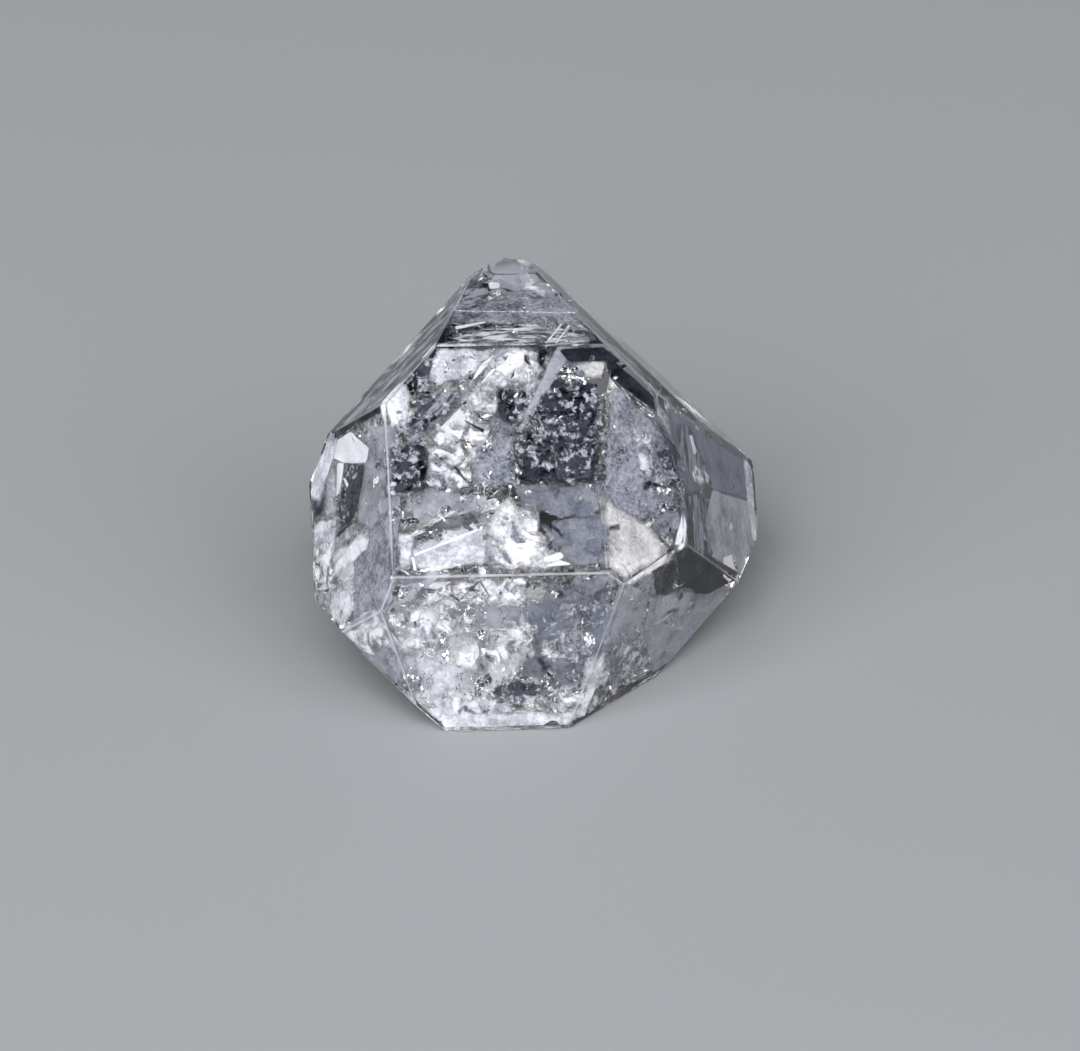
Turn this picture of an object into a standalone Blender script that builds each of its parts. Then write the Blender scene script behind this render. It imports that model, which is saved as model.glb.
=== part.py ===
"""A herkimer diamond: one clear quartz crystal with a point at both ends, lying on one of its point faces.

The crystal is a block cut by the planes of its natural faces. Quartz fixes their directions: six prism faces
stand parallel to the long axis, 60 degrees apart, and each has a point face above it and one below it, all at the
same slope. Only their distances from the centre are this crystal's own. Scars, growth ledges, chips and pits are
then cut into it, still in the crystal's own axes (long axis +Z, front prism face towards -Y). At the end it is
laid on the table, on its lower back face.
"""

import math

import bmesh
import bpy
from mathutils import Matrix, Vector

MM = 0.001

# Quartz's own angle between a prism face and the point faces above and below it.
POINT_SLOPE = math.radians(38.21)
SIDE_STEP = 60
FRONT_AZIMUTH = -90

# Each side's upper point face, prism face and lower point face: distance from the centre, mm.
FACE_DISTANCES = {
    "front": (8.95, 7.50, 10.30),
    "right_front": (8.20, 8.50, 9.75),
    "right_back": (10.30, 11.45, 10.00),
    "back": (5.55, 6.50, 6.35),
    "left_back": (7.25, 9.20, 11.00),
    "left_front": (9.65, 10.70, 13.65),
}
TIERS = ("upper", "prism", "lower")
RESTING_FACE = ("back", "lower")
TABLE_TURN = 5.75  # degrees the crystal is turned on the table, about the vertical
EDGE_WIDTH = 0.06  # the fine blunting along every natural edge, mm
BLOCK = 60.0  # the block that planes cut faces and cutters out of, mm

# The contact scar on the right front edge, where a neighbouring crystal stopped the growth. Its floor is two
# planes that meet in a slight hollow, and a narrow shelf closes it at the top: azimuth, elevation, distance.
SCAR_UPPER_FLOOR = (-63.5, -4.4, 7.86)
SCAR_LOWER_FLOOR = (-65.8, 0.8, 7.77)
SCAR_SHELF = (1.7, 48.8, 4.24)

# Growth ledges: the face, the way the lowered part lies from the ledge's line (degrees round the face, 0 to its
# right and 90 up it), the line's distance from the centre that way and how deep it steps down, mm.
LEDGES = (
    ("front", "upper", -94, -2.35, 0.03),
    ("front", "upper", -88, -1.25, 0.03),
    ("front", "upper", -92, -0.35, 0.03),
    ("right_front", "upper", -165, -0.05, 0.20),
    ("right_back", "upper", 90, -3.00, 0.05),
    ("right_back", "prism", 100, 0.20, 0.06),
    ("right_back", "lower", -10, -0.90, 0.06),
    ("back", "upper", -90, 0.90, 0.06),
    ("back", "upper", 152, 6.20, 0.08),
    ("back", "upper", 75, 6.90, 0.10),
    ("left_back", "upper", 150, 1.10, 0.08),
    ("left_back", "upper", -20, 5.40, 0.07),
    ("left_back", "prism", -35, 5.20, 0.07),
    ("left_back", "lower", 75, -1.40, 0.09),
    ("left_front", "prism", 170, 2.10, 0.04),
)
LEDGE_RISER = 50  # slope of a ledge's riser, degrees

# Shell-shaped chips along worn edges: the two faces that meet in the edge, the chip's place along it from the
# point nearest the centre (towards the first face's outward side crossed with the second's), its radius and how
# far it bites in, mm.
CHIPS = (
    ("front upper", "right_front upper", 7.30, 0.80, 0.34),
    ("front upper", "right_front upper", 5.60, 0.45, 0.06),
    ("front upper", "back upper", 0.60, 0.90, 0.20),
    ("front upper", "left_back upper", -4.25, 0.70, 0.18),
    ("front upper", "left_back upper", -3.10, 0.55, 0.10),
    ("right_front upper", "back upper", 6.50, 0.85, 0.26),
    ("right_front upper", "back upper", 4.30, 0.60, 0.10),
    ("right_front upper", "back upper", 0.90, 0.70, 0.10),
    ("right_front upper", "back upper", -3.60, 0.60, 0.12),
    ("right_front upper", "right_back upper", -2.60, 0.60, 0.14),
    ("right_front upper", "right_back upper", -3.45, 0.50, 0.12),
    ("right_front upper", "right_back upper", -4.20, 0.65, 0.15),
    ("right_front upper", "right_back upper", -5.20, 0.50, 0.10),
    ("right_front prism", "right_back prism", 0.40, 0.50, 0.08),
    ("right_front prism", "right_front lower", 3.90, 0.35, 0.04),
    ("right_front lower", "back lower", -2.30, 0.60, 0.09),
    ("right_front lower", "back lower", -5.20, 0.50, 0.07),
    ("front lower", "back lower", 0.40, 0.55, 0.14),
    ("front lower", "back lower", -1.60, 0.60, 0.08),
    ("front lower", "back lower", -3.30, 0.50, 0.07),
    ("front lower", "back lower", -5.10, 0.60, 0.14),
    ("front lower", "left_front lower", 2.60, 0.40, 0.04),
    ("front prism", "left_front prism", 4.90, 0.35, 0.04),
    ("left_back upper", "left_front upper", 4.60, 0.50, 0.06),
    ("left_back upper", "left_front upper", 1.20, 0.40, 0.07),
    ("left_back upper", "left_front upper", -3.90, 0.70, 0.12),
    ("left_back prism", "left_front prism", -3.10, 0.50, 0.06),
    ("back upper", "left_back upper", 8.60, 0.60, 0.10),
    ("back upper", "left_back upper", 3.00, 0.80, 0.15),
    ("back upper", "left_back upper", -4.80, 0.60, 0.12),
    ("back upper", "back prism", -8.80, 0.80, 0.20),
    ("back upper", "back prism", -2.00, 0.50, 0.08),
    ("back upper", "back prism", 4.40, 0.60, 0.10),
    ("back lower", "left_back lower", -5.00, 0.60, 0.10),
)

# Three-sided growth pits: the face, the pit's middle (right, up on the face), its half-width and its depth, mm.
PITS = (
    ("front", "lower", -1.20, -7.40, 0.16, 0.06),
    ("front", "lower", -4.80, -3.10, 0.12, 0.05),
    ("right_front", "lower", 1.30, -4.60, 0.18, 0.06),
    ("right_front", "upper", 2.40, -1.40, 0.22, 0.07),
    ("right_front", "upper", 4.80, -0.60, 0.16, 0.06),
    ("right_back", "lower", -2.00, 2.30, 0.20, 0.07),
    ("right_back", "lower", -0.40, 3.90, 0.14, 0.05),
    ("back", "upper", -2.60, -1.10, 0.24, 0.08),
    ("back", "upper", 2.10, 1.40, 0.18, 0.06),
    ("back", "upper", -5.10, 1.60, 0.14, 0.05),
    ("back", "upper", 0.40, 5.10, 0.28, 0.09),
    ("left_back", "upper", 1.60, -2.60, 0.26, 0.09),
    ("left_back", "upper", 3.90, -0.40, 0.18, 0.06),
    ("left_back", "upper", 4.40, 2.30, 0.14, 0.05),
    ("left_back", "lower", 5.70, -5.20, 0.22, 0.07),
    ("left_back", "lower", 4.30, -2.60, 0.16, 0.05),
    ("left_front", "upper", 0.40, -3.60, 0.14, 0.05),
)


def direction(azimuth, elevation):
    """The unit vector at this azimuth from +X and this elevation above level, both in degrees."""
    a = math.radians(azimuth)
    e = math.radians(elevation)
    return Vector((math.cos(a) * math.cos(e), math.sin(a) * math.cos(e), math.sin(e)))


def face_normal(side, tier):
    """The outward normal of a natural face."""
    azimuth = FRONT_AZIMUTH + SIDE_STEP * list(FACE_DISTANCES).index(side)
    slope = math.degrees(POINT_SLOPE) * {"upper": 1, "prism": 0, "lower": -1}[tier]
    return direction(azimuth, slope)


def face_distance(side, tier):
    return FACE_DISTANCES[side][TIERS.index(tier)]


def face_axes(side, tier):
    """A face's own axes as seen from outside: right, up and out."""
    out = face_normal(side, tier)
    right = Vector((0, 0, 1)).cross(out).normalized()
    return right, out.cross(right), out


def block_cut_by(planes):
    """A bmesh of the block's part behind every plane; a plane is an outward direction and a distance in mm."""
    mesh = bmesh.new()
    bmesh.ops.create_cube(mesh, size=BLOCK * MM)
    for normal, distance in planes:
        every = mesh.verts[:] + mesh.edges[:] + mesh.faces[:]
        cut = bmesh.ops.bisect_plane(
            mesh, geom=every, plane_co=normal * distance * MM, plane_no=normal, clear_outer=True
        )
        rim = [item for item in cut["geom_cut"] if isinstance(item, bmesh.types.BMEdge)]
        bmesh.ops.contextual_create(mesh, geom=rim)
    bmesh.ops.recalc_face_normals(mesh, faces=mesh.faces)
    return mesh


def object_from(name, mesh):
    data = bpy.data.meshes.new(name)
    mesh.to_mesh(data)
    mesh.free()
    made = bpy.data.objects.new(name, data)
    bpy.context.scene.collection.objects.link(made)
    return made


def natural_crystal():
    """The whole crystal before any damage, with its edges finely blunted."""
    planes = [
        (face_normal(side, tier), face_distance(side, tier)) for side in FACE_DISTANCES for tier in TIERS
    ]
    mesh = block_cut_by(planes)
    bmesh.ops.bevel(
        mesh, geom=mesh.edges[:], offset=EDGE_WIDTH * MM, segments=1, affect="EDGES", clamp_overlap=True
    )
    return object_from("herkimer_crystal", mesh)


def carve(body, cutter):
    """Takes the cutter out of the body, and keeps the result as the body's own mesh."""
    cutter.hide_render = True
    cutter.display_type = "WIRE"
    boolean = body.modifiers.new("carve", "BOOLEAN")
    boolean.operation = "DIFFERENCE"
    boolean.solver = "EXACT"
    boolean.object = cutter
    evaluated = body.evaluated_get(bpy.context.evaluated_depsgraph_get())
    carved = bpy.data.meshes.new_from_object(evaluated)
    body.modifiers.clear()
    body.data = carved
    bpy.data.objects.remove(cutter)


def carve_scar(body):
    """The hollow contact scar: everything outside both floor planes and below the shelf."""
    planes = [(-direction(a, e), -d) for a, e, d in (SCAR_UPPER_FLOOR, SCAR_LOWER_FLOOR)]
    azimuth, elevation, distance = SCAR_SHELF
    planes.append((direction(azimuth, elevation), distance))
    carve(body, object_from("scar_cutter", block_cut_by(planes)))


def carve_ledge(body, side, tier, way, offset, depth):
    """Lowers the part of one face past a line, and leaves a sloping riser along the line."""
    right, up, out = face_axes(side, tier)
    across = right * math.cos(math.radians(way)) + up * math.sin(math.radians(way))
    tilt = math.radians(90 - LEDGE_RISER)
    riser = (-across * math.cos(tilt) - out * math.sin(tilt)).normalized()
    floor = face_distance(side, tier) - depth
    foot = across * offset + out * floor
    planes = [(-out, -floor), (riser, riser.dot(foot))]
    carve(body, object_from("ledge_cutter", block_cut_by(planes)))


def carve_pit(body, side, tier, across, up_face, half_width, depth):
    """A shallow three-sided pit, like an upturned pyramid, with one side level on the face."""
    right, up, out = face_axes(side, tier)
    apex = right * across + up * up_face + out * (face_distance(side, tier) - depth)
    steep = math.atan2(depth, half_width)
    planes = []
    for turn in (90, 210, 330):
        outward = right * math.cos(math.radians(turn)) + up * math.sin(math.radians(turn))
        wall = outward * math.sin(steep) - out * math.cos(steep)
        planes.append((wall, wall.dot(apex)))
    carve(body, object_from("pit_cutter", block_cut_by(planes)))


def carve_chip(body, face_a, face_b, along, radius, bite):
    """A shell-shaped chip: a rough ball set outside the edge between two faces, biting in by this much."""
    a, b = face_a.split(), face_b.split()
    out_a, out_b = face_normal(*a), face_normal(*b)
    run = out_a.cross(out_b).normalized()
    on_edge = Matrix((out_a, out_b, run)).inverted() @ Vector((face_distance(*a), face_distance(*b), along))
    centre = on_edge + (out_a + out_b).normalized() * (radius - bite)
    mesh = bmesh.new()
    bmesh.ops.create_icosphere(
        mesh, subdivisions=2, radius=radius * MM, matrix=Matrix.Translation(centre * MM)
    )
    carve(body, object_from("chip_cutter", mesh))


def lie_on_resting_face(body):
    """Turns the crystal from its own axes onto its resting face, with the origin under its middle."""
    down = face_normal(*RESTING_FACE)
    onto_face = down.rotation_difference(Vector((0, 0, -1))).to_matrix().to_4x4()
    body.data.transform(Matrix.Rotation(math.radians(TABLE_TURN), 4, "Z") @ onto_face)
    lows = [min(vertex.co[axis] for vertex in body.data.vertices) for axis in range(3)]
    highs = [max(vertex.co[axis] for vertex in body.data.vertices) for axis in range(3)]
    centre = [(low + high) / 2 for low, high in zip(lows, highs)]
    body.data.transform(Matrix.Translation((-centre[0], -centre[1], -lows[2])))


def clear_quartz():
    material = bpy.data.materials.new("clear_quartz")
    material.use_nodes = True
    shader = material.node_tree.nodes["Principled BSDF"]
    shader.inputs["Base Color"].default_value = (0.95, 0.96, 0.98, 1.0)
    shader.inputs["Roughness"].default_value = 0.03
    shader.inputs["Metallic"].default_value = 0.0
    shader.inputs["IOR"].default_value = 1.544
    shader.inputs["Transmission Weight"].default_value = 1.0
    return material


def main():
    for existing in list(bpy.data.objects):
        bpy.data.objects.remove(existing)
    crystal = natural_crystal()
    carve_scar(crystal)
    for ledge in LEDGES:
        carve_ledge(crystal, *ledge)
    for chip in CHIPS:
        carve_chip(crystal, *chip)
    for pit in PITS:
        carve_pit(crystal, *pit)
    lie_on_resting_face(crystal)
    crystal.data.materials.clear()
    crystal.data.materials.append(clear_quartz())


main()
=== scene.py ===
"""The looks of a herkimer diamond: a clear quartz crystal with veils and cracks inside, on a pale floor."""

import math
import random

import bpy
from mathutils import Euler, Matrix, Vector


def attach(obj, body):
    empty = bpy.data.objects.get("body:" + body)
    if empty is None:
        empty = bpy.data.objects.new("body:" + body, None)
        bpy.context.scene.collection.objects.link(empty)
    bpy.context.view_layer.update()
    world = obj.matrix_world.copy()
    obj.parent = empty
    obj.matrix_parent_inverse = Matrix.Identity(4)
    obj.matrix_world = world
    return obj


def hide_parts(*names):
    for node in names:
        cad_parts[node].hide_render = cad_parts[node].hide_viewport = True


MM = 0.001
CENTRE = Vector((-0.060, 2.428, 6.353))  # the crystal's own middle, mm
TABLE_TURN, LEAN = 5.75, -51.79  # how the crystal's own axes lie on the table, degrees
LIE = Matrix.Rotation(math.radians(TABLE_TURN), 3, "Z") @ Matrix.Rotation(math.radians(LEAN), 3, "X")
QUARTZ_IOR = 1.544
ON_PLANE = 0.0001  # a point this near a cutting plane lies on it, mm

# The crystal's natural faces, as in the solid: how far each side's upper, prism and lower face is from its
# centre, mm. The sides are 60 degrees apart, from the front on.
SIDES = (
    (8.95, 7.50, 10.30),
    (8.20, 8.50, 9.75),
    (10.30, 11.45, 10.00),
    (5.55, 6.50, 6.35),
    (7.25, 9.20, 11.00),
    (9.65, 10.70, 13.65),
)
POINT_SLOPE = 38.21
LEFT_SLOPE = (-18, -32, 0)  # turns the upright axis to lie up the left point face, degrees
MAIN_SLANT = (0, -47, 0)  # and up to the right on the main face
SCAR_FLOOR = (-64.6, -1.8, 7.6)  # azimuth and elevation of the contact scar, and its distance, mm
SCAR_PARTS = ((-63.5, -4.4), (-65.8, 0.8))  # the two flats of its floor
SKIN = 0.16  # how far inner pieces stay below the surface, mm
GAP = 0.03  # how far the two walls of a crack stand apart, mm
STRIP = (0.05, 0.12)  # how wide the blunted strips along the ridges are, mm; growth steps are narrower
CRACK_CELL = 0.1  # how far a crack's grid lines are apart, mm
VEIL_CELL = (0.06, 0.2)  # and a veil's, at the least and at the most


class Maths:
    """A shader value that Python's own operators work on: each one adds a Math node."""

    def __init__(self, material, socket):
        self.material, self.socket = material, socket

    def run(self, operation, *values, clamp=False):
        return self.material.node(
            "ShaderNodeMath", {"operation": operation, "use_clamp": clamp}, dict(enumerate(values))
        )

    def __add__(self, other):
        return self.run("ADD", self, other)

    def __radd__(self, other):
        return self.run("ADD", other, self)

    def __sub__(self, other):
        return self.run("SUBTRACT", self, other)

    def __rsub__(self, other):
        return self.run("SUBTRACT", other, self)

    def __mul__(self, other):
        return self.run("MULTIPLY", self, other)

    def __rmul__(self, other):
        return self.run("MULTIPLY", other, self)

    def between(self, low, high):
        """0 below low, 1 above high and even between them."""
        return self.run("MULTIPLY", self - low, 1.0 / (high - low), clamp=True)


class Finish:
    """One material, built node by node on a Principled shader."""

    def __init__(self, name, **sockets):
        self.made = bpy.data.materials.new(name)
        self.made.use_nodes = True
        self.shader = self.made.node_tree.nodes["Principled BSDF"]
        for socket, value in sockets.items():
            self.shader.inputs[socket.replace("_", " ")].default_value = value

    def node(self, kind, settings=None, sockets=None, out=0):
        made = self.made.node_tree.nodes.new(kind)
        for name, value in (settings or {}).items():
            setattr(made, name, value)
        for name, value in (sockets or {}).items():
            self.feed(made.inputs[name], value)
        return Maths(self, made.outputs[out])

    def feed(self, socket, value):
        if isinstance(value, Maths):
            self.made.node_tree.links.new(value.socket, socket)
        else:
            socket.default_value = value

    def drive(self, socket, value):
        self.feed(self.shader.inputs[socket], value)

    def place(self, stretch=(1, 1, 1), turn=(0, 0, 0)):
        """The surface's place in the crystal's own axes, turned and in mm times the stretch."""
        spot = self.node("ShaderNodeTexCoord", out="Object")
        upright = (Euler([math.radians(angle) for angle in turn]).to_matrix() @ LIE.inverted()).to_euler()
        turned = self.node("ShaderNodeMapping", {}, {"Vector": spot, "Rotation": tuple(upright)})
        return self.node(
            "ShaderNodeMapping", {}, {"Vector": turned, "Scale": tuple(s / MM for s in stretch)}
        )

    def noise(self, where, per_mm, detail=3.0, roughness=0.55, warp=0.0):
        sockets = {"Vector": where, "Scale": per_mm, "Detail": detail, "Roughness": roughness}
        return self.node("ShaderNodeTexNoise", {}, {**sockets, "Distortion": warp})

    def colour_between(self, share, first, second):
        """The first colour where the share is 0, and the second where it is 1."""
        # 6, 7 and 2 are the Mix node's colour sockets. Those for numbers have the same names.
        return self.node(
            "ShaderNodeMix", {"data_type": "RGBA"}, {0: share, 6: (*first, 1), 7: (*second, 1)}, out=2
        )

    def bump(self, height, depth_mm):
        self.drive("Normal", self.node("ShaderNodeBump", {}, {"Height": height, "Distance": depth_mm * MM}))


def quartz(name, colour=(0.98, 0.985, 1.0)):
    return Finish(name, Base_Color=(*colour, 1), Roughness=0.0, IOR=QUARTZ_IOR, Transmission_Weight=1.0)


def clear_quartz():
    """The bright outer faces: flat to the eye, with a faint swell from growth."""
    f = quartz("clear_quartz")
    f.bump(f.noise(f.place(), 0.5, 2.0), 0.004)
    return f.made


def scar_quartz():
    """The scar's floor: the same quartz, dull and finely pitted where the other crystal lay against it."""
    f = quartz("scar_quartz", (0.97, 0.975, 1.0))
    where = f.place()
    patches = f.noise(where, 0.6, 4.0, 0.6)
    grain = f.noise(where, 5.0, 3.0, 0.6)
    f.drive("Roughness", patches.between(0.35, 0.75) * 0.16 + 0.02)
    f.bump(patches * 0.6 + grain * 0.4, 0.03)
    return f.made


def worn_ridge():
    """The blunted strips along the ridges: rubbed a little cloudy, more in some places than in others."""
    f = Finish("worn_ridge", Base_Color=(0.85, 0.85, 0.88, 1), IOR=QUARTZ_IOR, Transmission_Weight=0.92)
    wear = f.noise(f.place(), 1.3, 4.0, 0.6)
    f.drive("Roughness", wear.between(0.3, 0.6) * 0.4 + 0.2)
    return f.made


def crack_wall():
    """The walls of an inner crack: clean breaks with fine ripples, a little frosted in places."""
    f = quartz("crack_wall", (1, 1, 1))
    where = f.place()
    f.drive("Roughness", f.noise(where, 1.5, 4.0, 0.6).between(0.45, 0.75) * 0.10)
    f.bump(f.noise(where, 4.0, 3.0), 0.006)
    return f.made


def veil_finish(name, light, dark, density, cloud, tone, edge, warp=0.3, stretch=(1, 1, 1), turn=(0, 0, 0)):
    """A cloud of specks in the quartz, see-through between them.

    light, dark: the two colours that it wanders between.
    cloud: clouds per mm, and the noise levels where they start and are dense.
    tone: broad tones per mm, how much of the tone is a fine grain instead, and how far the tones are apart.
    edge: how far in from the sheet's rim the cloud is thinner, mm.
    warp: how wavy the clouds are.
    stretch: above 1 along an axis of the crystal, it draws the specks thin that way.
    turn: leans the axes that it is stretched along, degrees.
    """
    f = Finish(name, Roughness=1.0, Specular_IOR_Level=0.0)
    where = f.place(stretch, turn)
    clouds = f.noise(where, cloud[0], 8.0, 0.65, warp)
    broad = f.noise(where, tone[0], 5.0, 0.6, warp)
    grain = f.noise(where, 5.0, 3.0, 0.7)
    tones = broad * (1 - tone[1]) + grain * tone[1]
    inward = f.node("ShaderNodeAttribute", {"attribute_name": "inward"}, out="Fac")
    filled = (inward + (clouds - 0.5) * (4 * edge)).between(0.0, edge)
    f.drive("Alpha", filled * clouds.between(cloud[1], cloud[2]) * density)
    f.drive("Base Color", f.colour_between(tones.between(0.5 - tone[2], 0.5 + tone[2]), dark, light))
    return f.made


def veil_finishes():
    """The finish of each kind of veil, by its name."""
    white, pale, grey, murk = (0.95, 0.95, 0.98), (0.60, 0.61, 0.67), (0.34, 0.35, 0.41), (0.20, 0.21, 0.26)
    dusk, ash, black = (0.09, 0.10, 0.13), (0.035, 0.038, 0.05), (0.003, 0.004, 0.006)
    upright, level = (3.0, 3.0, 0.6), (0.6, 0.6, 3.0)
    finishes = (
        veil_finish(
            "haze", (0.48, 0.485, 0.54), (0.28, 0.29, 0.34), 0.88,
            cloud=(0.6, 0.20, 0.50), tone=(0.8, 0.4, 0.09), edge=0.12,
        ),
        veil_finish(
            "dim", (0.30, 0.31, 0.36), (0.12, 0.13, 0.17), 0.88,
            cloud=(0.6, 0.20, 0.50), tone=(0.8, 0.4, 0.09), edge=0.12,
        ),
        veil_finish(
            "pale", (0.85, 0.855, 0.91), (0.46, 0.47, 0.53), 0.92,
            cloud=(0.6, 0.20, 0.50), tone=(1.1, 0.5, 0.07), edge=0.20,
        ),
        veil_finish("mist", white, murk, 0.90, cloud=(0.6, 0.20, 0.55), tone=(1.0, 0.5, 0.09), edge=0.60),
        veil_finish("milk", white, pale, 1.0, cloud=(0.7, 0.15, 0.45), tone=(1.0, 0.4, 0.12), edge=0.25),
        veil_finish("chalk", white, pale, 1.0, cloud=(0.8, 0.05, 0.30), tone=(1.0, 0.4, 0.20), edge=0.05),
        veil_finish("crumbs", white, murk, 0.95, cloud=(1.5, 0.42, 0.56), tone=(1.5, 0.6, 0.08), edge=0.50),
        veil_finish(
            "crumble", (0.56, 0.57, 0.64), (0.06, 0.065, 0.085), 0.95,
            cloud=(2.4, 0.49, 0.58), tone=(1.5, 0.6, 0.07), edge=0.30,
        ),
        veil_finish(
            "swirl", white, murk, 0.95,
            cloud=(0.6, 0.18, 0.45), tone=(0.6, 0.2, 0.07), edge=0.40, warp=2.5,
        ),
        veil_finish(
            "mottle", (0.46, 0.47, 0.54), dusk, 0.90,
            cloud=(0.8, 0.15, 0.45), tone=(1.0, 0.55, 0.10), edge=0.30,
        ),
        veil_finish(
            "slate", (0.20, 0.22, 0.28), (0.11, 0.12, 0.16), 0.92,
            cloud=(0.8, 0.15, 0.45), tone=(0.8, 0.4, 0.10), edge=0.12,
        ),
        # Near-black clouds of painted darkness: they stand in for the dark backdrop seen through the clear
        # quartz, not for a dark inclusion.
        veil_finish(
            "painted_dark_clouds", (0.06, 0.065, 0.085), black, 1.0,
            cloud=(0.9, 0.10, 0.34), tone=(0.9, 0.45, 0.07), edge=0.15,
        ),
        # Near-black wisps of painted darkness, standing in for the dark backdrop seen through the clear
        # quartz.
        veil_finish("painted_dark_wisps", ash, black, 1.0, cloud=(1.0, 0.15, 0.38), tone=(1.0, 0.5, 0.10), edge=0.20),
        # Crisp near-black plates of painted darkness, standing in for the dark backdrop seen through the
        # clear quartz.
        veil_finish("painted_dark_plates", ash, black, 1.0, cloud=(1.0, 0.05, 0.25), tone=(1.0, 0.4, 0.10), edge=0.05),
        veil_finish(
            "cream", (0.86, 0.85, 0.85), (0.38, 0.38, 0.40), 0.95,
            cloud=(0.7, 0.18, 0.48), tone=(0.9, 0.5, 0.12), edge=0.40,
        ),
        veil_finish(
            "waves", (0.84, 0.85, 0.90), (0.05, 0.055, 0.07), 0.80,
            cloud=(0.7, 0.38, 0.56), tone=(0.7, 0.2, 0.07), edge=0.40, warp=2.5, stretch=level,
        ),
        veil_finish(
            "fibres", (0.28, 0.29, 0.34), black, 0.95,
            cloud=(0.8, 0.32, 0.48), tone=(0.8, 0.2, 0.06), edge=0.20, warp=0.6, stretch=upright,
        ),
        veil_finish(
            "slant", grey, (0.02, 0.02, 0.03), 0.92,
            cloud=(0.8, 0.36, 0.50), tone=(0.8, 0.2, 0.05), edge=0.30,
            warp=0.6, stretch=upright, turn=MAIN_SLANT,
        ),
        veil_finish(
            "slope", (0.46, 0.47, 0.53), (0.03, 0.03, 0.04), 0.90,
            cloud=(0.5, 0.30, 0.50), tone=(0.7, 0.2, 0.06), edge=0.12,
            warp=0.6, stretch=upright, turn=LEFT_SLOPE,
        ),
    )
    return {finish.name: finish for finish in finishes}


def toward(azimuth, elevation):
    """The unit vector at this azimuth and elevation in the crystal's own axes, in degrees."""
    a, e = math.radians(azimuth), math.radians(elevation)
    return Vector((math.cos(a) * math.cos(e), math.sin(a) * math.cos(e), math.sin(e)))


def faces_of_crystal():
    planes = [(toward(SCAR_FLOOR[0], SCAR_FLOOR[1]), SCAR_FLOOR[2])]
    for side, distances in enumerate(SIDES):
        for slope, distance in zip((POINT_SLOPE, 0, -POINT_SLOPE), distances):
            planes.append((toward(-90 + 60 * side, slope), distance))
    return planes


def flat(corner):
    return Vector((*corner, 0))


def cornered(corners):
    """The straight cuts that leave this outline: for each, a point on it and the way that is cut off."""
    cuts = []
    for corner, after in zip(map(flat, corners), map(flat, corners[1:] + corners[:1])):
        run = after - corner
        cuts.append((corner, Vector((run.y, -run.x, 0)).normalized()))
    return cuts


def ragged(size, seed, sides=8):
    """Cuts round an oval of this size, each turned a little and nearer or further by chance."""
    chance = random.Random(seed)
    cuts = []
    for side in range(sides):
        angle = 2 * math.pi * (side + chance.uniform(-0.35, 0.35)) / sides
        way = Vector((math.cos(angle) * size[0], math.sin(angle) * size[1], 0))
        share_of_size = chance.uniform(0.4, 0.5)
        square_to_rim = Vector((way.x / size[0] ** 2, way.y / size[1] ** 2, 0)).normalized()
        cuts.append((way * share_of_size, square_to_rim))
    return cuts


def clouds(name, size):
    """A texture of clouds of this size in mm, for one wave."""
    texture = bpy.data.textures.new(name, "CLOUDS")
    texture.noise_scale = size
    texture.noise_depth = 2
    return texture


def sheet(name, low, high, cuts, cell, waves, seed):
    """A wavy sheet in mm, flat on XY between these corners, cut to its outline.

    cell: how far its grid lines are apart, mm.
    waves: for each wave, the axis that it moves the sheet along, how broad it is and how high, in mm.
    Each point of the sheet keeps how far it is from the rim, in mm, as the attribute inward.
    """
    chance = random.Random(seed)
    across, along = high[0] - low[0], high[1] - low[1]
    bpy.ops.object.select_all(action="DESELECT")
    bpy.ops.mesh.primitive_grid_add(
        x_subdivisions=max(2, round(across / cell)), y_subdivisions=max(2, round(along / cell)), size=1
    )
    made = bpy.context.object
    made.name = made.data.name = name
    made.scale = (across, along, 1)
    made.location = ((low[0] + high[0]) / 2, (low[1] + high[1]) / 2, 0)
    bpy.ops.object.transform_apply(location=True, rotation=False, scale=True)
    bpy.ops.object.mode_set(mode="EDIT")
    for point, way in cuts:
        bpy.ops.mesh.select_all(action="SELECT")
        bpy.ops.mesh.bisect(plane_co=point, plane_no=way, clear_outer=True, threshold=ON_PLANE)
    bpy.ops.object.mode_set(mode="OBJECT")
    inward = made.data.attributes.new("inward", "FLOAT", "POINT")
    for vertex, kept in zip(made.data.vertices, inward.data):
        kept.value = min((point - vertex.co).dot(way) for point, way in cuts)
    # The clouds stand still in space, so each sheet goes to a place of its own for its waves.
    made.location = [chance.uniform(-50, 50) for axis in "XYZ"]
    for number, (axis, scale, height) in enumerate(waves):
        wave = made.modifiers.new("wave", "DISPLACE")
        wave.texture = clouds(f"{name}_wave_{number}", scale)
        wave.direction = axis
        wave.strength = height
        wave.mid_level = 0.5
        wave.texture_coords = "GLOBAL"
        bpy.ops.object.modifier_apply(modifier=wave.name)
    made.location = (0, 0, 0)
    return made


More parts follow.
